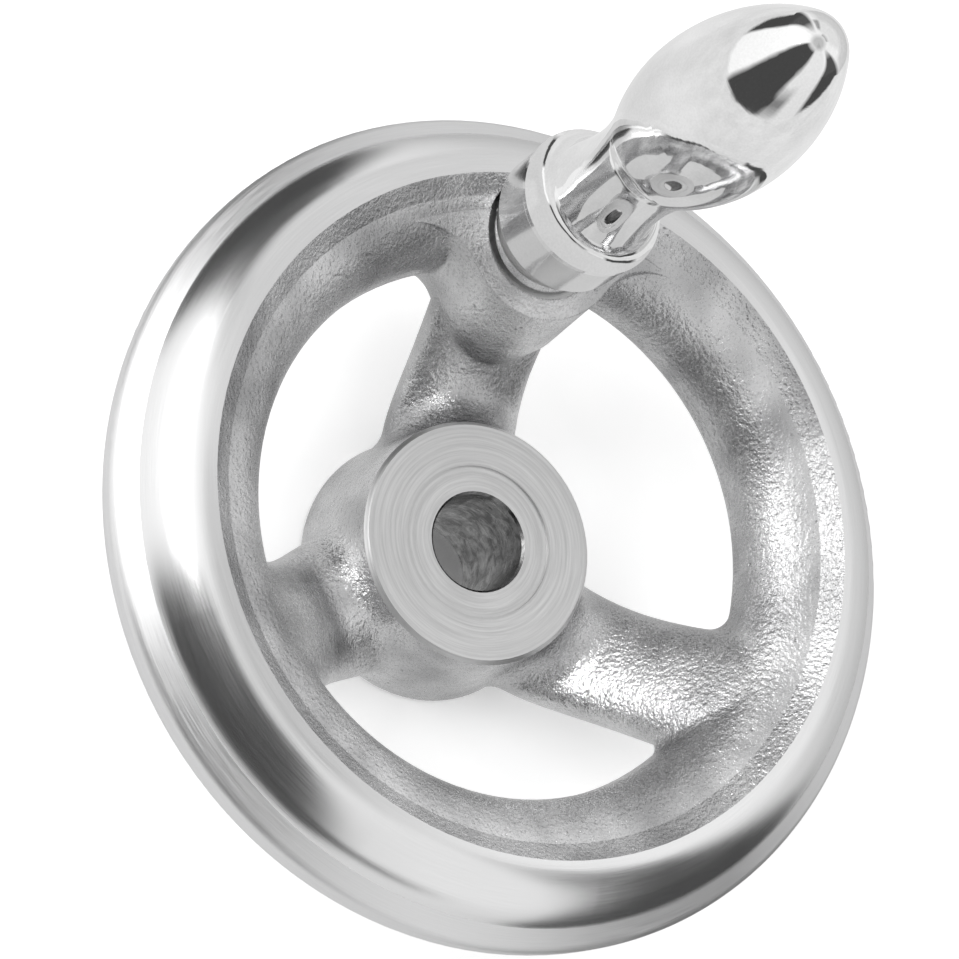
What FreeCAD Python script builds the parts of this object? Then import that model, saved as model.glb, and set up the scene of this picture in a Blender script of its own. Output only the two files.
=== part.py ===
"""Three-spoke cast aluminium machine handwheel with a revolving steel machine grip.

The frame: the bore is on Z, Z = 0 is the turned rear face of the hub and +Z
points to the operator. The grip stands on the +X side. Lengths are in mm.
"""
import FreeCAD, Part
import math
import os

from FreeCAD import Vector as V

# Driving dimensions of the wheel
wheel_diameter = 100.0
wheel_height = 35.0            # rear face of the hub to the crest of the rim
hub_length = 17.0              # turned front face to turned rear face
bore_diameter = 12.0           # 12 H7 shaft seat
bore_chamfer = 0.3
spoke_count = 3

# Rim section: insets are measured in from the outside, drops down from the crest
crest_inset = 9.5              # sharp turned edge between polish and casting
valley_inset = 2.55            # fine groove between front dome and outer band
valley_drop = 5.4
dome_bulge = 1.25              # rise of the front dome over its chord
band_shoulder_drop = 6.6
band_shoulder_inset = 0.75
flank_top_drop = 8.3
flank_bottom_drop = 9.7
flank_bulge = 1.3
back_inset = 4.4               # where the rounded flank runs into the flat back
rim_depth = 13.4               # crest to the flat back of the rim
ledge_inset = 11.6             # crease of the cast inner side
ledge_drop = 2.05
window_inset = 17.6            # inner wall of the rim
window_wall_drop = 10.0        # where the ledge has turned into the wall
back_edge_round = 1.2

# Hub
hub_face_radius = 14.6
hub_rear_radius = 16.7
hub_face_edge = 0.5
step_ring_radius = 9.45        # edge of the recessed inner face
step_ring_depth = 0.25
hub_rear_round = 1.2
hub_rear_face_radius = 15.4

# Spokes: an oval section that rises from the hub to the rim
spoke_width = 15.8
spoke_thickness = 8.8          # square to the arm, at mid length
spoke_hub_height = 7.6         # middle of the arm where it leaves the hub
spoke_mid_height = 13.3        # halfway to the rim
spoke_rim_height = 23.0        # at the inner wall of the rim
spoke_root_depth = 6.0         # length of arm inside the hub
spoke_end_depth = 4.0          # length of arm inside the rim
spoke_hub_width = 17.4
spoke_rim_width = 17.4
spoke_oval = 2.3               # 2 is an ellipse, more is squarer
spoke_rim_share = 0.9          # of its thickness left at the rim
hub_round = 4.0                # hollow where an arm meets the hub
rim_round = 2.5                # hollow where an arm meets the rim

# Boss for the grip
grip_inset = 15.7              # outside of the wheel to the grip axis
boss_drop = 4.0                # crest to the front edge of the boss's top
boss_top_slope = 0.15          # its top climbs outwards into the rim
boss_radius = 10.2
boss_wing_radius = 7.5         # round between the boss and the rim wall
boss_foot_wing_radius = 7.0    # the same at the height of the rim's back
boss_rim_bite = 4.4            # how far its sides run into the rim
boss_front_flare = 1.5         # the front wall leans out towards the hub
boss_foot_radius = 9.2         # at the height of the rim's back
boss_root_radius = 5.5         # where it ends inside the arm
boss_root_drop = 7.5           # below the rim's back
spot_face_radius = 7.7
spot_face_depth = 0.35
thread_diameter = 8.0          # M8
thread_clearance = 0.03        # shank to hole, radial

# Grip spindle
base_radius = 7.25
base_height = 3.0
cone_height = 3.5
collar_radius = 8.7
collar_height = 6.2
collar_edge = 0.25
journal_radius = 4.0
journal_length = 34.0
journal_nose = 0.8
spindle_tail_inset = 0.6       # shank end below the back of the rim
ring_groove_inset = 5.5        # nose of the journal to the groove
ring_groove_width = 1.25
ring_groove_depth = 0.8

# Snap ring that keeps the sleeve on the spindle
ring_wire = 1.0
ring_gap_angle = 40.0          # degrees
ring_side_clearance = 0.1
sleeve_ring_clearance = 0.35

# Revolving sleeve, heights are measured up from its foot
sleeve_length = 48.9           # its other heights are shares of this
sleeve_end_clearance = 0.12    # sleeve foot to collar
sleeve_bore_clearance = 0.08   # radial running fit
sleeve_bore_end = 2.0          # spindle nose to the blind end of the bore
drill_point = 0.58             # cone of the drill, height over radius
lip_radius = 8.9
lip_height = 0.6
flare_share = 0.08             # where the flared foot runs into the neck
neck_radius = 5.95
neck_share = 0.20
neck_curve_share = 0.50        # radius of the hollow of the neck
bulb_radius = 9.2
bulb_share = 0.58
crown_curve_share = 0.695      # radius of the bulb above its widest place

# Derived places
wheel_radius = wheel_diameter / 2
crest_radius = wheel_radius - crest_inset
ledge_radius = wheel_radius - ledge_inset
window_radius = wheel_radius - window_inset
grip_radius = wheel_radius - grip_inset
crest_z = wheel_height
rim_back_z = crest_z - rim_depth
boss_top_z = crest_z - boss_drop
boss_root_z = rim_back_z - boss_root_drop
seat_z = boss_top_z - spot_face_depth
collar_top_z = seat_z + base_height + cone_height + collar_height
ring_groove_height = journal_length - ring_groove_inset
sleeve_foot_z = collar_top_z + sleeve_end_clearance
flare_height = sleeve_length * flare_share
neck_height = sleeve_length * neck_share
neck_curve = sleeve_length * neck_curve_share
bulb_height = sleeve_length * bulb_share
crown_curve = sleeve_length * crown_curve_share
spoke_pitch = 360.0 / spoke_count


def mirrored(p):
    return V(p.x, -p.y, p.z)


def line(a, b):
    return Part.LineSegment(a, b).toShape()


def arc(a, mid, b):
    return Part.Arc(a, mid, b).toShape()


def bulged(a, b, bulge):
    """Arc from a to b in the XZ plane, bulged to the left of a->b."""
    chord = b.sub(a)
    side = V(-chord.z, 0, chord.x).normalize().multiply(bulge)
    return arc(a, a.add(b).multiply(0.5).add(side), b)


def revolved(edges, axis_x=0.0):
    """Solid of revolution of closed XZ edges about the vertical line at axis_x."""
    face = Part.Face(Part.Wire(edges))
    return face.revolve(V(axis_x, 0, 0), V(0, 0, 1), 360)


def rim_solid():
    crest = V(crest_radius, 0, crest_z)
    valley = V(wheel_radius - valley_inset, 0, crest_z - valley_drop)
    shoulder = V(wheel_radius - band_shoulder_inset, 0, crest_z - band_shoulder_drop)
    flank_top = V(wheel_radius, 0, crest_z - flank_top_drop)
    flank_bottom = V(wheel_radius, 0, crest_z - flank_bottom_drop)
    back_outer = V(wheel_radius - back_inset, 0, rim_back_z)
    back_inner = V(window_radius + back_edge_round, 0, rim_back_z)
    wall_bottom = V(window_radius, 0, rim_back_z + back_edge_round)
    wall_top = V(window_radius, 0, crest_z - window_wall_drop)
    ledge = V(ledge_radius, 0, crest_z - ledge_drop)
    across = ledge_radius - window_radius
    up = window_wall_drop - ledge_drop
    ledge_curve = (across ** 2 + up ** 2) / (2 * across)
    ledge_centre = V(window_radius + ledge_curve, 0, wall_top.z)
    ledge_mid = on_arc(ledge_centre, ledge_curve, wall_top.add(ledge).multiply(0.5))
    round_out = V(1, 0, 1).normalize().multiply(back_edge_round)
    round_mid = V(back_inner.x, 0, wall_bottom.z).sub(round_out)
    return revolved([
        bulged(crest, valley, dome_bulge),
        line(valley, shoulder),
        bulged(shoulder, flank_top, 0.25),
        line(flank_top, flank_bottom),
        bulged(flank_bottom, back_outer, flank_bulge),
        line(back_outer, back_inner),
        arc(back_inner, round_mid, wall_bottom),
        line(wall_bottom, wall_top),
        arc(wall_top, ledge_mid, ledge),
        line(ledge, crest),
    ])


def hub_solid():
    rear = V(hub_rear_face_radius, 0, 0)
    rear_top = V(hub_rear_radius, 0, hub_rear_round)
    edge_low = V(hub_face_radius + hub_face_edge, 0, hub_length - hub_face_edge)
    face = V(hub_face_radius, 0, hub_length)
    step = V(step_ring_radius, 0, hub_length)
    step_low = V(step_ring_radius, 0, hub_length - step_ring_depth)
    return revolved([
        line(V(0, 0, 0), rear),
        bulged(rear, rear_top, -0.35),
        line(rear_top, edge_low),
        line(edge_low, face),
        line(face, step),
        line(step, step_low),
        line(step_low, V(0, 0, step_low.z)),
        line(V(0, 0, step_low.z), V(0, 0, 0)),
    ])


def spoke_section(x, z, width, height):
    """Closed oval, squarer than an ellipse, in the plane at x."""
    ring = []
    count = 12
    for i in range(count):
        turn = 2 * math.pi * i / count
        c, d = math.cos(turn), math.sin(turn)
        size = (abs(c) ** spoke_oval + abs(d) ** spoke_oval) ** (-1 / spoke_oval)
        ring.append(V(x, width / 2 * c * size, z + height / 2 * d * size))
    curve = Part.BSplineCurve()
    curve.interpolate(ring, PeriodicFlag=True)
    return Part.Wire(curve.toShape())


def spoke_solid():
    """Arm that leaves the hub low and climbs ever steeper into the rim."""
    run = window_radius - hub_rear_radius
    middle = (window_radius + hub_rear_radius) / 2
    rise = (spoke_rim_height - spoke_hub_height) / run
    tall = min(spoke_thickness * math.sqrt(1 + rise ** 2), 0.95 * rim_depth)
    end_height = min(tall, 0.7 * rim_depth)
    end_z = rim_back_z + rim_depth * 0.42
    return Part.makeLoft([
        spoke_section(hub_rear_radius - spoke_root_depth, spoke_hub_height - 0.6,
                      spoke_hub_width, spoke_thickness),
        spoke_section(hub_rear_radius, spoke_hub_height, spoke_hub_width, spoke_thickness),
        spoke_section(middle, spoke_mid_height, spoke_width, tall),
        spoke_section(window_radius, spoke_rim_height, spoke_rim_width,
                      tall * spoke_rim_share),
        spoke_section(window_radius + spoke_end_depth, end_z, spoke_rim_width, end_height),
    ], True, False)


def boss_outline(middle, radius, wing, z):
    """Boss circle run into the rim wall by a tangent round on each side."""
    rim_r = window_radius + boss_rim_bite
    reach = radius + wing
    far = rim_r - wing
    cos_a = (far ** 2 + middle ** 2 - reach ** 2) / (2 * far * middle)
    angle = math.acos(cos_a)
    wing_c = V(far * math.cos(angle), far * math.sin(angle), z)
    boss_c = V(middle, 0, z)
    touch_rim = V(rim_r * math.cos(angle), rim_r * math.sin(angle), z)
    to_boss = boss_c.sub(wing_c).normalize()
    touch_boss = wing_c.add(V(to_boss).multiply(wing))
    to_rim = touch_rim.sub(wing_c).normalize()
    wing_mid = wing_c.add(to_boss.add(to_rim).normalize().multiply(wing))
    inner = V(middle - radius, 0, z)
    outer = V(rim_r, 0, z)
    return Part.Wire([
        arc(touch_rim, wing_mid, touch_boss),
        arc(touch_boss, inner, mirrored(touch_boss)),
        arc(mirrored(touch_boss), mirrored(wing_mid), mirrored(touch_rim)),
        arc(mirrored(touch_rim), outer, touch_rim),
    ])


def boss_root(middle, radius, z):
    """Circle inside the arm, in four arcs to match the outlines above it."""
    turns = [math.radians(a) for a in (40, 75, 110, 180, 250, 285, 320, 360)]
    ring = [V(middle + radius * math.cos(a), radius * math.sin(a), z) for a in turns]
    ring.append(ring[0])
    return Part.Wire([arc(*ring[i:i + 3]) for i in (0, 2, 4, 6)])


def boss_solid():
    """Pad for the grip: upright front, flanks that draw in towards the arm."""
    front = grip_radius - boss_radius - boss_front_flare
    foot_middle = front + boss_foot_radius
    root_middle = front + boss_root_radius
    climb = (wheel_radius - front) * boss_top_slope
    top = boss_outline(grip_radius, boss_radius, boss_wing_radius, boss_top_z)
    foot = boss_outline(foot_middle, boss_foot_radius, boss_foot_wing_radius, rim_back_z)
    root = boss_root(root_middle, boss_root_radius, boss_root_z)
    boss = Part.makeLoft([root, foot, top], True, True)
    boss = boss.fuse(Part.Face(top).extrude(V(0, 0, climb)))
    low = V(grip_radius - boss_radius, -wheel_radius, boss_top_z)
    wedge = Part.Face(Part.makePolygon([
        low,
        low.add(V(wheel_radius - front, 0, climb)),
        low.add(V(wheel_radius - front, 0, climb + 1)),
        low.add(V(0, 0, climb + 1)),
        low]))
    return boss.cut(wedge.extrude(V(0, wheel_diameter, 0)))


def arm_joints(casting, near, far):
    """Edges where the free-form skin of an arm meets the turned hub or rim."""
    joints = []
    for edge in casting.Edges:
        faces = casting.ancestorsOfType(edge, Part.Face)
        free = [f for f in faces if isinstance(f.Surface, Part.BSplineSurface)]
        middle = edge.valueAt((edge.FirstParameter + edge.LastParameter) / 2)
        if len(faces) == 2 and len(free) == 1:
            if near < math.hypot(middle.x, middle.y) < far:
                joints.append(edge)
    return joints


def arm_rounds():
    """Both hollows, held inside the hub's wall over an arm and the arm's free length."""
    wall = hub_length - hub_face_edge - spoke_hub_height - spoke_thickness / 2
    run = window_radius - hub_rear_radius
    share = min(1, 0.6 * run / (hub_round + rim_round))
    return min(hub_round * share, 0.9 * wall), rim_round * share


def wheel_casting():
    """Rim, hub, spokes and boss poured in one piece, then machined."""
    casting = rim_solid().fuse(hub_solid())
    spoke = spoke_solid()
    for i in range(spoke_count):
        arm = spoke.copy()
        arm.rotate(V(0, 0, 0), V(0, 0, 1), i * spoke_pitch)
        casting = casting.fuse(arm)
    halfway = (hub_rear_radius + window_radius) / 2
    at_hub, at_rim = arm_rounds()
    casting = casting.makeFillet(at_hub, arm_joints(casting, 0, halfway))
    casting = casting.makeFillet(at_rim, arm_joints(casting, halfway, wheel_radius))
    casting = casting.fuse(boss_solid())
    bore = Part.makeCylinder(bore_diameter / 2, hub_length + 2, V(0, 0, -1))
    mouth = bore_diameter / 2 + bore_chamfer
    front_z = hub_length - step_ring_depth
    front = Part.makeCone(mouth - bore_chamfer, mouth, bore_chamfer,
                          V(0, 0, front_z - bore_chamfer))
    rear = Part.makeCone(mouth, mouth - bore_chamfer, bore_chamfer)
    face_clear = Part.makeCylinder(hub_face_radius + hub_face_edge, 4, V(0, 0, hub_length))
    dish = Part.makeCylinder(step_ring_radius, 1, V(0, 0, front_z))
    spot = Part.makeCylinder(spot_face_radius, base_height + 5, V(grip_radius, 0, seat_z))
    hole = Part.makeCylinder(thread_diameter / 2, rim_depth + 20,
                             V(grip_radius, 0, rim_back_z - 15))
    for tool in (bore, front, rear, face_clear, dish, spot, hole):
        casting = casting.cut(tool)
    return casting.removeSplitter()


def grip_spindle():
    """Turned axle: screwed shank, seat, collar, journal and ring groove."""
    shank = thread_diameter / 2 - thread_clearance
    tail_z = rim_back_z + spindle_tail_inset
    base_top = seat_z + base_height
    cone_top = base_top + cone_height
    nose_z = collar_top_z + journal_length
    groove_z = collar_top_z + ring_groove_height
    groove_r = journal_radius - ring_groove_depth
    points = [
        (0, tail_z),
        (shank - journal_nose, tail_z),
        (shank, tail_z + journal_nose),
        (shank, seat_z),
        (base_radius, seat_z),
        (base_radius, base_top),
        (collar_radius, cone_top),
        (collar_radius, collar_top_z - collar_edge),
        (collar_radius - collar_edge, collar_top_z),
        (journal_radius, collar_top_z),
        (journal_radius, groove_z),
        (groove_r, groove_z),
        (groove_r, groove_z + ring_groove_width),
        (journal_radius, groove_z + ring_groove_width),
        (journal_radius, nose_z - journal_nose),
        (journal_radius - journal_nose, nose_z),
        (0, nose_z),
    ]
    path = [V(grip_radius + r, 0, z) for r, z in points]
    edges = [line(a, b) for a, b in zip(path, path[1:] + path[:1])]
    return revolved(edges, grip_radius)


def ring_middle():
    """Radius and height of the centre of the snap ring's wire."""
    radius = journal_radius - ring_groove_depth + ring_side_clearance + ring_wire / 2
    return radius, collar_top_z + ring_groove_height + ring_groove_width / 2


def retaining_ring():
    """Open snap ring of round wire in the spindle's groove."""
    radius, z = ring_middle()
    wire = Part.Face(Part.Wire(Part.makeCircle(
        ring_wire / 2, V(grip_radius + radius, 0, z), V(0, 1, 0))))
    ring = wire.revolve(V(grip_radius, 0, 0), V(0, 0, 1), 360 - ring_gap_angle)
    ring.rotate(V(grip_radius, 0, 0), V(0, 0, 1), ring_gap_angle / 2)
    return ring


def on_arc(centre, radius, toward):
    """Point of a circle in the XZ plane that lies toward another point."""
    return centre.add(toward.sub(centre).normalize().multiply(radius))


def arc_about(centre, radius, a, b):
    """Short arc from a to b about a centre in the XZ plane."""
    return arc(a, on_arc(centre, radius, a.add(b).multiply(0.5)), b)


def grip_outline(at):
    """Tangent arcs from the lip over flare, neck and bulb to the round tip."""
    lip = at(lip_radius, lip_height)
    neck_c = at(neck_radius + neck_curve, neck_height)
    bulge = bulb_radius - neck_radius
    climb = bulb_height - neck_height
    bulb_curve = (bulge ** 2 + climb ** 2) / (2 * bulge) - neck_curve
    bulb_c = at(bulb_radius - bulb_curve, bulb_height)
    crown_c = at(bulb_radius - crown_curve, bulb_height)
    widest = at(bulb_radius, bulb_height)
    drop = neck_height - flare_height
    flare_top = at(neck_radius + neck_curve - math.sqrt(neck_curve ** 2 - drop ** 2),
                   flare_height)
    across = flare_top.sub(lip)
    inward = neck_c.sub(flare_top).normalize()
    flare_curve = -across.dot(across) / (2 * across.dot(inward))
    flare_c = flare_top.add(V(inward).multiply(flare_curve))
    swing = neck_c.add(bulb_c.sub(neck_c).normalize().multiply(neck_curve))
    offset = crown_curve - bulb_radius
    rise = sleeve_length - bulb_height
    tip_curve = ((offset ** 2 + rise ** 2 - crown_curve ** 2)
                 / (2 * (rise - crown_curve)))
    tip_c = at(0, sleeve_length - tip_curve)
    shoulder = on_arc(crown_c, crown_curve, tip_c)
    tip = at(0, sleeve_length)
    return [
        arc_about(flare_c, flare_curve, lip, flare_top),
        arc_about(neck_c, neck_curve, flare_top, swing),
        arc_about(bulb_c, bulb_curve, swing, widest),
        arc_about(crown_c, crown_curve, widest, shoulder),
        arc_about(tip_c, tip_curve, shoulder, tip),
    ]


def grip_sleeve():
    """Turned bulb grip, bored blind, with an inner groove for the snap ring."""
    def at(r, z):
        return V(grip_radius + r, 0, sleeve_foot_z + z)

    bore_r = journal_radius + sleeve_bore_clearance
    bore_top = journal_length + sleeve_bore_end - sleeve_end_clearance
    ring_r, ring_z = ring_middle()
    groove_z = ring_z - sleeve_foot_z
    groove_r = ring_r + ring_wire / 2 + sleeve_ring_clearance
    groove_half = ring_groove_width / 2 + ring_side_clearance
    inner = [
        at(0, sleeve_length),
        at(0, bore_top + bore_r * drill_point),
        at(bore_r, bore_top),
        at(bore_r, groove_z + groove_half),
        at(groove_r, groove_z + groove_half),
        at(groove_r, groove_z - groove_half),
        at(bore_r, groove_z - groove_half),
        at(bore_r, 0),
        at(lip_radius, 0),
        at(lip_radius, lip_height),
    ]
    edges = grip_outline(at)
    edges += [line(a, b) for a, b in zip(inner, inner[1:])]
    return revolved(edges, grip_radius)


os.makedirs("parts", exist_ok=True)
for name, solid in (
        ("wheel_casting", wheel_casting()),
        ("grip_spindle", grip_spindle()),
        ("retaining_ring", retaining_ring()),
        ("grip_sleeve", grip_sleeve())):
    solid.exportStep("parts/" + name + ".step")
    box = solid.BoundBox
    print(name, "valid", solid.isValid(), "solids", len(solid.Solids),
          "volume %.1f" % solid.Volume,
          "z %.2f to %.2f" % (box.ZMin, box.ZMax))
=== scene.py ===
# %% [markdown]
# # A cast machine handwheel with a revolving grip
#
# The wheel is one aluminium casting: rim, three arms, hub and grip boss are poured
# together, and then a few places are turned bright. The grip is a polished steel
# bulb that spins on a screwed-in spindle. The shapes are measured ones and arrive
# ready-made, so this lesson is mostly about surfaces: how a turned face, a buffed
# rim, a blasted casting and a mirror polish differ in the light.

# %% Open the measured model
import bpy
import bmesh
import math
from mathutils import Matrix, Vector


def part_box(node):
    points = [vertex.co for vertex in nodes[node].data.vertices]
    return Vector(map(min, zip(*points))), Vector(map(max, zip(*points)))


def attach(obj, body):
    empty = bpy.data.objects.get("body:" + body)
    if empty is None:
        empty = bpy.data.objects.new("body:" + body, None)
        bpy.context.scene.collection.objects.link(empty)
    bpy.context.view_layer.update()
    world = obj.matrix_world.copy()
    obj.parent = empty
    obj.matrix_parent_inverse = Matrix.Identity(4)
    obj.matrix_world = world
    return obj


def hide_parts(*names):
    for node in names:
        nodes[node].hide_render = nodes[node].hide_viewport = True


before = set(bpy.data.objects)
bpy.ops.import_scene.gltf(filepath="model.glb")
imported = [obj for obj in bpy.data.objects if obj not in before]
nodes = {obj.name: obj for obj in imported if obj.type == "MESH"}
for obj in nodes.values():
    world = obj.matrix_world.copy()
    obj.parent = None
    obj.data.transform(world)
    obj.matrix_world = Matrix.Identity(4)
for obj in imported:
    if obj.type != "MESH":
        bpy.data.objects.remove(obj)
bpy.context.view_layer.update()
print("nodes:", sorted(nodes))

# %% [markdown]
# The wheel lies on the turned rear face of its hub, with the bore upright. Blender
# works in metres here, but a scratch or a grain is easier to think of in
# millimetres. So the sizes that the finishes and the pale cards hang on are read
# from the model and kept in millimetres.

# %% Sizes read from the model
MM = 0.001
sleeve_low, sleeve_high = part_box("grip_sleeve")
casting_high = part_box("wheel_casting")[1]
grip_x = ((sleeve_low + sleeve_high) / 2).x / MM
sleeve_foot_z = sleeve_low.z / MM
wheel_radius = casting_high.y / MM
rim_crest_z = casting_high.z / MM
print("grip axis at x = %.2f mm, sleeve from z = %.2f mm" % (grip_x, sleeve_foot_z))
print("wheel radius %.2f mm, crest at z = %.2f mm" % (wheel_radius, rim_crest_z))

# %% [markdown]
# ## Helpers for surfaces
#
# Every finish is a metal, so each one is the same shader with another roughness
# and another relief. The colour and roughness that a metal starts with only serve
# until its patterns take over. The patterns are procedural, because a picture of
# scratches would blur or repeat, and they read the piece's own coordinates, so
# they stay on the metal when it moves.

# %% A metal to start from
def new_nodes(name):
    """A new material and its node tree."""
    material = bpy.data.materials.new(name)
    material.use_nodes = True
    return material, material.node_tree


def millimetres(tree):
    """The piece's own coordinates, in millimetres."""
    place = tree.nodes.new("ShaderNodeTexCoord")
    to_mm = tree.nodes.new("ShaderNodeMapping")
    to_mm.inputs["Scale"].default_value = (1 / MM, 1 / MM, 1 / MM)
    tree.links.new(place.outputs["Object"], to_mm.inputs["Vector"])
    return to_mm.outputs["Vector"]


def metal(name, colour, roughness):
    """A new metal with its nodes, shader and coordinates in millimetres."""
    material, tree = new_nodes(name)
    shader = tree.nodes["Principled BSDF"]
    shader.inputs["Metallic"].default_value = 1.0
    shader.inputs["Base Color"].default_value = (*colour, 1.0)
    shader.inputs["Roughness"].default_value = roughness
    return material, tree, shader, millimetres(tree)


# %% [markdown]
# A pattern is a chain of small sums on numbers that vary over the surface: a noise,
# stretched to the range that is wanted, then handed to the roughness, the colour
# or the relief. These helpers each add one link of such a chain.

# %% Numbers that vary over a surface
def maths(tree, operation, *values):
    """One Math node, each value being a number or another node's output."""
    node = tree.nodes.new("ShaderNodeMath")
    node.operation = operation
    for socket, value in zip(node.inputs, values):
        if isinstance(value, (int, float)):
            socket.default_value = value
        else:
            tree.links.new(value, socket)
    return node.outputs["Value"]


def mixed(tree, main, share, other):
    """The main pattern at this share, and the other for the rest of it."""
    return maths(tree, "ADD", maths(tree, "MULTIPLY", main, share),
                 maths(tree, "MULTIPLY", other, 1.0 - share))


def noise(tree, vector, scale, detail, roughness, distortion=0.0):
    """Smooth random values around a half; scale is in waves to the millimetre."""
    node = tree.nodes.new("ShaderNodeTexNoise")
    for name, number in (("Scale", scale), ("Detail", detail),
                         ("Roughness", roughness), ("Distortion", distortion)):
        node.inputs[name].default_value = number
    tree.links.new(vector, node.inputs["Vector"])
    return node.outputs["Fac"]


def ramp(tree, value, low, high, out_low=0.0, out_high=1.0):
    """The value stretched from low..high to out_low..out_high, and held there."""
    node = tree.nodes.new("ShaderNodeMapRange")
    tree.links.new(value, node.inputs["Value"])
    for name, number in (("From Min", low), ("From Max", high),
                         ("To Min", out_low), ("To Max", out_high)):
        node.inputs[name].default_value = number
    return node.outputs["Result"]


# %% What a pattern does to the metal
def relief(tree, shader, height, depth_mm, under=None):
    """Bump from a height of 0..1, depth_mm deep, laid over another normal."""
    node = tree.nodes.new("ShaderNodeBump")
    node.inputs["Strength"].default_value = 1.0
    node.inputs["Distance"].default_value = depth_mm * MM
    tree.links.new(height, node.inputs["Height"])
    if under is not None:
        tree.links.new(under, node.inputs["Normal"])
    tree.links.new(node.outputs["Normal"], shader.inputs["Normal"])
    return node.outputs["Normal"]


def tint(tree, shader, value, dark, light):
    """Base colour that runs from dark to light as the value goes from 0 to 1."""
    node = tree.nodes.new("ShaderNodeMix")
    node.data_type = "RGBA"
    node.inputs["A"].default_value = (*dark, 1.0)
    node.inputs["B"].default_value = (*light, 1.0)
    tree.links.new(value, node.inputs["Factor"])
    tree.links.new(node.outputs["Result"], shader.inputs["Base Color"])


def polish(tree, shader, value):
    """Roughness that follows a pattern."""
    tree.links.new(value, shader.inputs["Roughness"])


# %% [markdown]
# A lathe draws its marks round an axis. Coordinates that follow the turned face,
# with the way round it as a cosine and a sine, stretch a plain noise into such
# marks and close on themselves after a full turn.

# %% Coordinates round an axis
def centred(tree, vector, x_mm):
    """The same coordinates counted from an upright axis that stands at x_mm."""
    shift = tree.nodes.new("ShaderNodeMapping")
    shift.inputs["Location"].default_value = (-x_mm, 0.0, 0.0)
    tree.links.new(vector, shift.inputs["Vector"])
    return shift.outputs["Vector"]


def radius_turn_height(tree, vector):
    """Distance from the upright axis, angle round it, and height above the table."""
    parts = tree.nodes.new("ShaderNodeSeparateXYZ")
    tree.links.new(vector, parts.inputs["Vector"])
    x, y, z = (parts.outputs[axis] for axis in "XYZ")
    radius = maths(tree, "SQRT", maths(tree, "ADD", maths(tree, "MULTIPLY", x, x),
                                       maths(tree, "MULTIPLY", y, y)))
    return radius, maths(tree, "ARCTAN2", y, x), z


def around_axis(tree, vector, across, along):
    """Coordinates that follow a turned face: fine across its lines, long round it."""
    radius, turn, z = radius_turn_height(tree, vector)
    profile = maths(tree, "SUBTRACT", radius, z)
    join = tree.nodes.new("ShaderNodeCombineXYZ")
    for axis, value, scale in (("X", profile, across),
                               ("Y", maths(tree, "COSINE", turn), along),
                               ("Z", maths(tree, "SINE", turn), along)):
        tree.links.new(maths(tree, "MULTIPLY", value, scale), join.inputs[axis])
    return join.outputs["Vector"]


# %% [markdown]
# ## The cast skin
#
# Inside the rim and on the arms the casting was only blasted and tumbled. Its skin
# is a field of soft grains about half a millimetre wide that glitter one by one.
# Real grains in the mesh would take millions of faces, so they are a relief in the
# material. Two noises of different size make the grain, a third one lets the tone
# wander, and sparse cells and a little pepper dig the few pits. The pits also darken
# the base colour, which is painted shade in them.
#
# Where the grip's boss grows out of the arm, a casting has no sharp edge. A Bevel
# node rounds the light there, over its root more than over its lip, and moves
# nothing.

# %% Cast skin
root_round, lip_round = 1.1, 0.45
lip_from_z, lip_to_z = 24.0, 27.0
boss_radius, boss_clear = 14.0, 17.0


def cast_skin():
    material, tree, shader, mm = metal("cast_skin", (0.73, 0.73, 0.735), 0.38)
    grain = noise(tree, mm, scale=1.9, detail=2.0, roughness=0.6)
    lumps = noise(tree, mm, scale=0.45, detail=2.0, roughness=0.5)
    wander = noise(tree, mm, scale=0.09, detail=2.0, roughness=0.5)
    cells = tree.nodes.new("ShaderNodeTexVoronoi")
    cells.inputs["Scale"].default_value = 0.32
    tree.links.new(mm, cells.inputs["Vector"])
    pits = ramp(tree, cells.outputs["Distance"], 0.03, 0.08)
    specks = noise(tree, mm, scale=3.2, detail=2.0, roughness=0.5)
    pits = maths(tree, "MULTIPLY", pits, ramp(tree, specks, 0.34, 0.42, 0.75, 1.0))

    from_grip, _, height = radius_turn_height(tree, centred(tree, mm, grip_x))
    round_mm = maths(tree, "MULTIPLY",
                     ramp(tree, height, lip_from_z, lip_to_z, root_round, lip_round),
                     ramp(tree, from_grip, boss_radius, boss_clear, 1.0, 0.0))
    soft_boss = tree.nodes.new("ShaderNodeBevel")
    soft_boss.samples = 4
    tree.links.new(maths(tree, "MULTIPLY", round_mm, MM), soft_boss.inputs["Radius"])

    skin = relief(tree, shader, mixed(tree, grain, 0.6, lumps), 0.34,
                  under=soft_boss.outputs["Normal"])
    relief(tree, shader, pits, 0.08, under=skin)
    # The pits darken the base colour as well as the relief: painted shade in the pits.
    tint(tree, shader, maths(tree, "MULTIPLY", ramp(tree, wander, 0.35, 0.65), pits),
         (0.44, 0.44, 0.445), (0.81, 0.81, 0.815))
    polish(tree, shader, ramp(tree, grain, 0.3, 0.7, 0.19, 0.31))
    return material


# %% [markdown]
# ## The buffed rim
#
# The front of the rim was turned and then buffed, so it mirrors its surroundings
# softly. Hair-fine lines run round it and spread each reflection across them. That
# is what anisotropy does, and a very shallow relief of the same lines keeps it
# from looking like plastic. The outer band was left as the lathe cut it: the same
# lines, deeper, on a duller metal, and no anisotropy.

# %% Buffed rim and turned band
def fine_lines(tree, mm, across, along):
    """The hair-fine lines that run round the rim."""
    return noise(tree, around_axis(tree, mm, across, along),
                 scale=1.0, detail=3.0, roughness=0.6)


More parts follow.
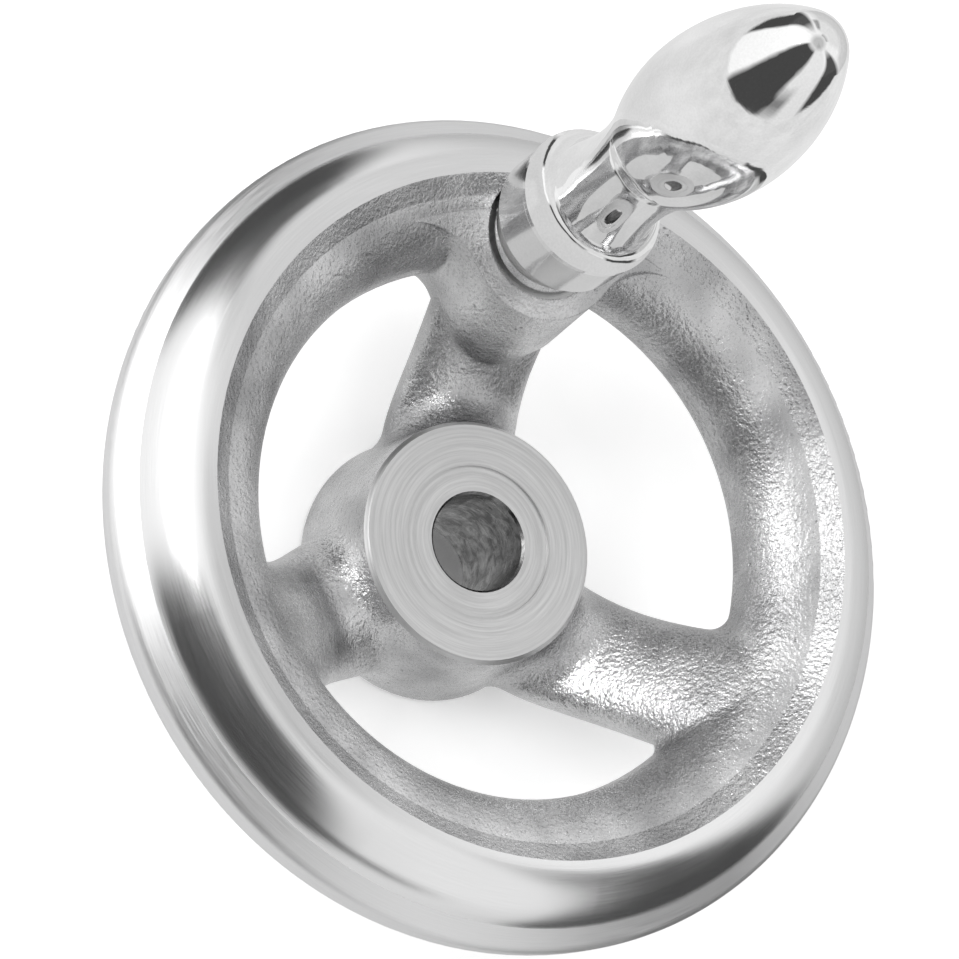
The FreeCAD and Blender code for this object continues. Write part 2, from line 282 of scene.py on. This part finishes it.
def buffed_rim():
    material, tree, shader, mm = metal("buffed_rim", (0.86, 0.86, 0.862), 0.2)
    lines = fine_lines(tree, mm, across=7.0, along=6.0)
    haze = noise(tree, mm, scale=0.05, detail=3.0, roughness=0.6)
    relief(tree, shader, lines, 0.004)
    polish(tree, shader, maths(tree, "ADD", ramp(tree, lines, 0.3, 0.7, 0.15, 0.21),
                               ramp(tree, haze, 0.35, 0.65, 0.0, 0.05)))
    shader.inputs["Anisotropic"].default_value = 0.55
    tangent = tree.nodes.new("ShaderNodeTangent")
    tangent.direction_type = "RADIAL"
    tangent.axis = "Z"
    tree.links.new(tangent.outputs["Tangent"], shader.inputs["Tangent"])
    tint(tree, shader, ramp(tree, lines, 0.25, 0.75),
         (0.82, 0.82, 0.822), (0.89, 0.89, 0.892))
    return material


def turned_band():
    material, tree, shader, mm = metal("turned_band", (0.86, 0.86, 0.862), 0.38)
    lines = fine_lines(tree, mm, across=5.0, along=8.0)
    relief(tree, shader, lines, 0.012)
    polish(tree, shader, ramp(tree, lines, 0.3, 0.7, 0.4, 0.54))
    tint(tree, shader, ramp(tree, lines, 0.25, 0.75),
         (0.82, 0.82, 0.822), (0.9, 0.9, 0.902))
    return material


# %% [markdown]
# ## Faces cut on the lathe
#
# The hub's face shows the feed of the tool as rings. They are the same pattern as
# on the rim, only coarser and deeper and counted from the face's own axis, which
# is the grip's for the small seat under the spindle. A few rings are cut deeper
# and made darker than the rest. They would look drawn if they were even, so a
# noise shifts and frays them.

# %% Turned faces
scored_rings = (            # radius, half its width, how much brightness is left
    (8.6, 0.22, 0.35),
    (9.45, 0.3, 0.1),
    (11.9, 0.16, 0.6),
    (14.1, 0.2, 0.55))
fray = 0.34                 # how far a scored ring wanders in all


def turned_face(name, axis_x, depth_mm, roughness, scored=()):
    """A turned face with its rings round the upright axis at axis_x."""
    material, tree, shader, mm = metal(name, (0.78, 0.78, 0.78), roughness)
    own = centred(tree, mm, axis_x)
    rings = noise(tree, around_axis(tree, own, across=3.4, along=1.1),
                  scale=1.0, detail=4.0, roughness=0.65)
    broad = noise(tree, around_axis(tree, own, across=0.8, along=0.5),
                  scale=1.0, detail=2.0, roughness=0.5)
    depth = mixed(tree, rings, 0.8, broad)
    bright = ramp(tree, depth, 0.34, 0.66)
    ragged = maths(tree, "MULTIPLY",
                   noise(tree, own, scale=1.1, detail=3.0, roughness=0.6), fray)
    radius = maths(tree, "ADD", radius_turn_height(tree, own)[0], ragged)
    for ring_radius, half_width, left in scored:
        away = maths(tree, "ABSOLUTE",
                     maths(tree, "SUBTRACT", radius, ring_radius + fray / 2))
        line = ramp(tree, away, 0.3 * half_width, half_width, left, 1.0)
        bright = maths(tree, "MULTIPLY", bright, line)
        depth = maths(tree, "MULTIPLY", depth, line)
    relief(tree, shader, depth, depth_mm)
    tint(tree, shader, bright, (0.62, 0.62, 0.62), (0.83, 0.83, 0.83))
    polish(tree, shader, ramp(tree, rings, 0.3, 0.7, roughness - 0.06, roughness + 0.06))
    return material


# %% [markdown]
# ## The bore
#
# The bore was drilled and reamed and then left alone. Its metal is painted near
# black, as painted shade for the inside of the narrow hole, with drag marks round
# it and torn spots between them. A distorted noise gives both, because such marks
# curl and break off where a ring wouldn't.

# %% Bore
def bored_wall():
    # The near-black base colour, 0.1 to 0.3, is painted shade inside the bore.
    material, tree, shader, mm = metal("bored_wall", (0.2, 0.2, 0.2), 0.3)
    feed = noise(tree, around_axis(tree, mm, across=2.2, along=2.4),
                 scale=1.0, detail=4.0, roughness=0.65, distortion=0.4)
    torn = noise(tree, mm, scale=0.5, detail=5.0, roughness=0.7, distortion=0.8)
    relief(tree, shader, feed, 0.05)
    tint(tree, shader, ramp(tree, torn, 0.4, 0.62), (0.10, 0.10, 0.10), (0.30, 0.30, 0.30))
    polish(tree, shader, ramp(tree, feed, 0.3, 0.7, 0.2, 0.45))
    return material


# %% [markdown]
# ## The casting in its finishes
#
# One casting carries all these finishes, and each ends at a sharp turned edge. A
# copy of the measured mesh is therefore given one material for each finish, face
# by face, from where a face lies. The copy keeps the exact surface normals of the
# measured one, so the wide curves stay smooth.

# %% Where each finish lies, in millimetres
SKIN, RIM, BAND, FACE, BORE, SEAT = range(6)
crest_radius, band_radius = 40.4, 47.4
rim_foot_z, dome_foot_z = 21.0, 29.0
bore_radius = 6.4
hub_face_radius = 15.3
hub_face_low_z, hub_face_high_z = 16.4, 17.5
rear_face_z = 0.02
seat_radius, seat_low_z = 7.8, 22.0


def finish_of(centre):
    """Which finish a face has; its centre is in millimetres from the bore's foot."""
    radius = math.hypot(centre.x, centre.y)
    from_grip = math.hypot(centre.x - grip_x, centre.y)
    if radius > crest_radius and centre.z > rim_foot_z:
        return RIM if radius < band_radius and centre.z > dome_foot_z else BAND
    if radius < bore_radius:
        return BORE
    if radius < hub_face_radius and hub_face_low_z < centre.z < hub_face_high_z:
        return FACE
    if centre.z < rear_face_z:
        return FACE
    if from_grip < seat_radius and centre.z > seat_low_z:
        return SEAT
    return SKIN


# %% Dress the wheel casting
casting = nodes["wheel_casting"].copy()
casting.data = nodes["wheel_casting"].data.copy()
casting.name = "dressed_casting"
bpy.context.scene.collection.objects.link(casting)
casting.data.materials.clear()
finishes = (cast_skin(), buffed_rim(), turned_band(),
            turned_face("turned_hub_face", 0.0, 0.026, 0.36, scored_rings),
            bored_wall(), turned_face("spot_face", grip_x, 0.02, 0.36))
for finish in finishes:
    casting.data.materials.append(finish)
counts = [0] * len(finishes)
for face in casting.data.polygons:
    face.material_index = finish_of(face.center / MM)
    counts[face.material_index] += 1
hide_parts("wheel_casting")
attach(casting, "wheel")
for finish, count in zip(finishes, counts):
    print(finish.name, "on", count, "faces")

# %% [markdown]
# ## The polished grip and its spindle
#
# The bulb is polished to a mirror. A perfect mirror looks false, so its surface
# swells by hundredths of a millimetre, its roughness wanders a little and very
# faint lines run round it. The spindle under it is turned steel, a touch greyer,
# and the ring is plain drawn wire. Their measured meshes stay and only get a new
# material.

# %% Polished steel
def mirror_polish(name, colour, low, high, lines_depth):
    """Steel with a roughness of low..high and lines round the grip's axis."""
    material, tree, shader, mm = metal(name, colour, low)
    own = centred(tree, mm, grip_x)
    lines = noise(tree, around_axis(tree, own, across=4.0, along=2.0),
                  scale=1.0, detail=2.0, roughness=0.5)
    smear = noise(tree, own, scale=0.12, detail=3.0, roughness=0.6, distortion=0.5)
    swell = noise(tree, own, scale=0.3, detail=1.0, roughness=0.4)
    speckle = noise(tree, own, scale=3.6, detail=2.0, roughness=0.6)
    uneven = relief(tree, shader, swell, 0.04)
    relief(tree, shader, lines, lines_depth, under=uneven)
    polish(tree, shader, ramp(tree, smear, 0.35, 0.65, low, high))
    tint(tree, shader, ramp(tree, maths(tree, "ADD", smear, speckle), 0.7, 1.3),
         tuple(0.91 * c for c in colour), colour)
    return material


for node, *look in (
        ("grip_sleeve", "mirror_sleeve", (0.90, 0.90, 0.90), 0.025, 0.06, 0.0011),
        ("grip_spindle", "turned_spindle", (0.82, 0.82, 0.82), 0.1, 0.17, 0.004),
        ("retaining_ring", "drawn_wire", (0.45, 0.45, 0.46), 0.2, 0.3, 0.004)):
    nodes[node].material_slots[0].material = mirror_polish(*look)
    print(node, "wears", look[0])

# %% [markdown]
# ## Table
#
# The photograph has nothing behind the wheel but white. A pale table that also
# glows a little for the camera keeps its soft shadow and still goes to white. The
# glow fades where something stands almost on the table, so that the ground seen
# through the bore, under the hub, is as dark as it would be. The table lies a hair
# below the hub's rear face, because two faces in one plane would flicker.

# %% Table
def rays(tree):
    """Two switches: the camera's own rays, and those with the rays off metal or glass."""
    path = tree.nodes.new("ShaderNodeLightPath")
    camera_ray = path.outputs["Is Camera Ray"]
    bent = maths(tree, "MAXIMUM", path.outputs["Is Glossy Ray"],
                 path.outputs["Is Transmission Ray"])
    return camera_ray, maths(tree, "MAXIMUM", camera_ray, bent)


def pale_table():
    material, tree = new_nodes("pale_table")
    shader = tree.nodes["Principled BSDF"]
    shader.inputs["Base Color"].default_value = (0.9, 0.9, 0.9, 1.0)
    shader.inputs["Roughness"].default_value = 0.9
    shader.inputs["Specular IOR Level"].default_value = 0.1
    glow = tree.nodes.new("ShaderNodeEmission")
    glow.inputs["Color"].default_value = (1.0, 1.0, 1.0, 1.0)
    open_air = tree.nodes.new("ShaderNodeAmbientOcclusion")
    open_air.samples = 4
    open_air.inputs["Distance"].default_value = 30 * MM
    unshaded = ramp(tree, open_air.outputs["AO"], 0.15, 0.4, 0.0, 0.58)
    tree.links.new(maths(tree, "MULTIPLY", rays(tree)[1], unshaded),
                   glow.inputs["Strength"])
    both = tree.nodes.new("ShaderNodeAddShader")
    tree.links.new(shader.outputs["BSDF"], both.inputs[0])
    tree.links.new(glow.outputs["Emission"], both.inputs[1])
    tree.links.new(both.outputs["Shader"], tree.nodes["Material Output"].inputs["Surface"])
    material.cycles.emission_sampling = "NONE"
    return material


table_mesh = bmesh.new()
bmesh.ops.create_grid(table_mesh, x_segments=1, y_segments=1, size=3.0)
table_data = bpy.data.meshes.new("table")
table_mesh.to_mesh(table_data)
table_mesh.free()
table_data.materials.append(pale_table())
table = bpy.data.objects.new("table", table_data)
table.location.z = -0.05 * MM
bpy.context.scene.collection.objects.link(table)
table.visible_glossy = False
print("table %.2f mm below the hub's rear face" % (-table.location.z / MM))

# %% [markdown]
# ## The room that the metal shows
#
# Polished metal has no colour of its own: it shows the room. This room is a white
# tent with three dark openings between its cloths, which is what draws the dark
# sweeps on the rim and the dark tip of the grip. Hanging real cloths would put
# them in the picture from some sides, so they are painted on the surround, by
# compass bearing and height above the horizon. The camera sees only white. The
# table is left out of reflections, so that the tent shows all round, as if the
# wheel were held up in it.

# %% Bearing and height in the surround
world = bpy.data.worlds.new("white_tent")
bpy.context.scene.world = world
world.use_nodes = True
room = world.node_tree
direction = room.nodes.new("ShaderNodeTexCoord").outputs["Generated"]
parts = room.nodes.new("ShaderNodeSeparateXYZ")
room.links.new(direction, parts.inputs["Vector"])
degrees = 180 / math.pi
bearing = maths(room, "MULTIPLY", maths(room, "ARCTAN2", parts.outputs["Y"],
                                        parts.outputs["X"]), degrees)
rise = maths(room, "MULTIPLY", maths(room, "ARCSINE", parts.outputs["Z"]), degrees)


def cloth(centre, half, soft, low, high, fade, amount, lean):
    """A patch of the tent in degrees: lean makes it narrower the higher it gets."""
    foot_fade = 4.0
    off = maths(room, "ABSOLUTE", maths(room, "WRAP",
                                        maths(room, "SUBTRACT", bearing, centre),
                                        180.0, -180.0))
    off = maths(room, "ADD", off, maths(room, "MULTIPLY", rise, lean))
    side = ramp(room, off, half - soft, half + soft, 1.0, 0.0)
    above = ramp(room, rise, low - foot_fade, low + foot_fade)
    below = ramp(room, rise, high - fade, high + fade, 1.0, 0.0)
    both = maths(room, "MULTIPLY", above, below)
    return maths(room, "MULTIPLY", maths(room, "MULTIPLY", side, both), amount)


# %% [markdown]
# Each row below is one patch: its bearing, half its width and how soft its sides
# are, its lower and upper edge and how softly it ends above, how much brightness
# it adds, and its lean. The roof of the tent and the ground under it are greyer
# than its walls.

# %% The tent's cloths and openings
patches = (
    ("left opening", (131.0, 32.0, 5.0, -17.0, 66.0, 6.0, -0.93, 0.0)),
    ("foot of left opening", (173.0, 12.0, 5.0, -8.0, 3.0, 4.0, -0.6, 0.0)),
    ("right opening", (21.0, 20.0, 4.0, -47.0, 48.0, 16.0, -0.9, 0.2)),
    ("far opening", (-125.0, 20.0, 4.0, -47.0, 56.0, 14.0, -0.91, 0.2)),
    ("bright cloth", (69.0, 27.0, 3.0, -90.0, 66.0, 6.0, 0.16, 0.0)),
    ("grey cloth", (-55.0, 48.0, 8.0, -90.0, 24.0, 6.0, -0.3, 0.0)),
    ("window", (-45.0, 40.0, 6.0, 24.0, 60.0, 3.0, -0.14, 0.0)),
    ("window bar above", (-47.0, 26.0, 4.0, 63.0, 69.0, 2.0, -0.5, 0.0)),
    ("window bar beside", (-4.0, 6.0, 3.0, 26.0, 54.0, 4.0, -0.55, 0.0)),
    ("back cloth", (-172.0, 26.0, 5.0, -90.0, 90.0, 5.0, -0.1, 0.0)))
roof = ramp(room, rise, 66.0, 78.0, 0.0, -0.4)
ground = ramp(room, rise, -30.0, 8.0, -0.16, 0.0)
tent = maths(room, "ADD", roof, ground)
for name, numbers in patches:
    tent = maths(room, "ADD", tent, cloth(*numbers))
    print(name, "at", numbers[0], "degrees")

# %% [markdown]
# The camera and the metals see a full white. A dull surface, here the table, gets
# a little less light than that, so that its soft shadow stays in sight. The
# patches count for all rays but the camera's own, and even an opening gives back
# a trace of light.

# %% Light from the tent
lit_by_tent, seen_white, darkest = 0.8, 1.0, 0.07
camera_ray, shown = rays(room)
plain = maths(room, "ADD", lit_by_tent,
              maths(room, "MULTIPLY", shown, seen_white - lit_by_tent))
painted = maths(room, "MULTIPLY", tent, maths(room, "SUBTRACT", 1.0, camera_ray))
strength = maths(room, "MAXIMUM", maths(room, "ADD", plain, painted), darkest)
room.links.new(strength, room.nodes["Background"].inputs["Strength"])
room.nodes["Background"].inputs["Color"].default_value = (1.0, 1.0, 1.0, 1.0)
world.cycles.sampling_method = "NONE"
print("tent lights at", lit_by_tent, "and is seen at", seen_white)

# %% [markdown]
# ## Pale cards
#
# The grip stands above everything else and would mirror the dark openings down its
# whole length. In the photograph it is white up to its tip, so pale paper must have
# lain round and under the wheel. The cards here are flat or conical rings that only
# reflections can see, and only from one side: three are seen from above, by the
# grip, so the rim mirrors the tent as if they weren't there. The fourth hangs over
# the grip's foot, and shows only to what is close under it. Their brightness
# wanders a little, as paper's does, and they fade out at the edge.

# %% What a card is made of
def pale_paper(name, axis_x, fade_from, fade_to, level, closer_than):
    """Glowing paper for one-sided cards; all the lengths are in millimetres."""
    material, tree = new_nodes(name)
    own = centred(tree, millimetres(tree), axis_x)
    radius = radius_turn_height(tree, own)[0]
    uneven = noise(tree, own, scale=0.02, detail=3.0, roughness=0.6)
    glow = tree.nodes.new("ShaderNodeEmission")
    tree.links.new(ramp(tree, uneven, 0.3, 0.7, level - 0.07, level + 0.07),
                   glow.inputs["Strength"])
    side = tree.nodes.new("ShaderNodeNewGeometry")
    gone = maths(tree, "MAXIMUM", side.outputs["Backfacing"],
                 ramp(tree, radius, fade_from, fade_to))
    if closer_than:
        path = tree.nodes.new("ShaderNodeLightPath")
        far = maths(tree, "GREATER_THAN", path.outputs["Ray Length"], closer_than * MM)
        gone = maths(tree, "MAXIMUM", gone, far)
    clear = tree.nodes.new("ShaderNodeBsdfTransparent")
    choose = tree.nodes.new("ShaderNodeMixShader")
    tree.links.new(gone, choose.inputs["Fac"])
    tree.links.new(glow.outputs["Emission"], choose.inputs[1])
    tree.links.new(clear.outputs["BSDF"], choose.inputs[2])
    tree.links.new(choose.outputs["Shader"], tree.nodes["Material Output"].inputs["Surface"])
    material.cycles.emission_sampling = "NONE"
    return material


# %% [markdown]
# A card starts as a circle of edges. Extruding those edges and pushing the new ones
# out and up or down gives a ring or a cone, whichever its two circles ask for. Its
# faces are then turned to the side that it should be seen from.

# %% Cut a card
def card(name, inner, outer, fade_from, level=0.82, axis_x=0.0, faces_up=True,
         closer_than=None):
    """A ring between two circles, each a radius and a height in millimetres."""
    (inner_radius, inner_z), (outer_radius, outer_z) = inner, outer
    grow = outer_radius / inner_radius
    mesh = bmesh.new()
    bmesh.ops.create_circle(mesh, segments=96, radius=inner_radius * MM)
    grown = bmesh.ops.extrude_edge_only(mesh, edges=mesh.edges[:])
    edge = [v for v in grown["geom"] if isinstance(v, bmesh.types.BMVert)]
    bmesh.ops.scale(mesh, vec=(grow, grow, 1.0), verts=edge)
    bmesh.ops.translate(mesh, vec=(0.0, 0.0, (outer_z - inner_z) * MM), verts=edge)
    bmesh.ops.translate(mesh, vec=(axis_x * MM, 0.0, inner_z * MM), verts=mesh.verts)
    bmesh.ops.recalc_face_normals(mesh, faces=mesh.faces)
    mesh.normal_update()
    if (mesh.faces[:][0].normal.z > 0) != faces_up:
        bmesh.ops.reverse_faces(mesh, faces=mesh.faces)
    data = bpy.data.meshes.new(name)
    mesh.to_mesh(data)
    mesh.free()
    data.materials.append(
        pale_paper(name, axis_x, fade_from, outer_radius, level, closer_than))
    ring = bpy.data.objects.new(name, data)
    bpy.context.scene.collection.objects.link(ring)
    ring.visible_camera = False
    ring.visible_diffuse = False
    ring.visible_shadow = False
    ring.visible_transmission = False
    print("%s from %.1f to %.1f mm, %.1f mm up" % (name, inner_radius, outer_radius, inner_z))


# %% Lay the cards
beside_rim = wheel_radius + 1.0
over_crest = rim_crest_z + 0.6
over_foot = sleeve_foot_z + 3.7
card("sheet_round_wheel", (beside_rim, over_crest), (300.0, over_crest), 250.0)
card("skirt_round_wheel", (beside_rim, 30.6), (115.0, 1.0), 114.0)
card("paper_under_wheel", (0.5, -1.0), (76.0, -1.0), 64.0, level=0.66)
card("card_over_grip_foot", (11.0, over_foot), (50.0, over_foot), 40.0, level=0.72,
     axis_x=grip_x, faces_up=False, closer_than=45.0)

# %% [markdown]
# ## Lamp and camera
#
# The tent gives nearly all the light. One large, weak lamp from the side is added,
# so that the grains of the cast skin catch a direction and the table gets a soft
# shadow.

# %% Side lamp
lamp_place, lamp_aim = Vector((0.25, 0.75, 0.55)), Vector((0.0, 0.0, 0.02))
lamp_data = bpy.data.lights.new("side_lamp", "AREA")
lamp_data.shape = "RECTANGLE"
lamp_data.size = lamp_data.size_y = 0.5
lamp_data.energy = 4.0
lamp = bpy.data.objects.new("side_lamp", lamp_data)
lamp.location = lamp_place
lamp.rotation_euler = (lamp_aim - lamp_place).to_track_quat("-Z", "Y").to_euler()
bpy.context.scene.collection.objects.link(lamp)
print("lamp %.2f m from the wheel" % (lamp_aim - lamp_place).length)

# %% [markdown]
# The camera looks down on the wheel at a slant and is rolled, so that the grip
# points up to the right. Building its axes from the line of sight is easier to
# follow than three angles: first level, then turned about that line by the roll.

# %% Camera
camera_place = Vector((-0.08184, 0.12905, 0.28125))
look_at = Vector((0.00774, 0.00028, 0.017))
roll = math.radians(60.94)
ahead = (look_at - camera_place).normalized()
level_right = ahead.cross(Vector((0, 0, 1))).normalized()
level_up = level_right.cross(ahead)
right = level_right * math.cos(roll) + level_up * math.sin(roll)
up = level_up * math.cos(roll) - level_right * math.sin(roll)
facing = Matrix((right, up, -ahead)).transposed()

camera_data = bpy.data.cameras.new("camera")
camera_data.sensor_width = 36.0
camera_data.lens = 94.99
camera_data.clip_start = 0.01
camera = bpy.data.objects.new("camera", camera_data)
camera.matrix_world = Matrix.Translation(camera_place) @ facing.to_4x4()
bpy.context.scene.collection.objects.link(camera)
bpy.context.scene.camera = camera
bpy.context.scene.view_settings.view_transform = "Standard"
print("camera %.3f m from what it looks at" % (look_at - camera_place).length)
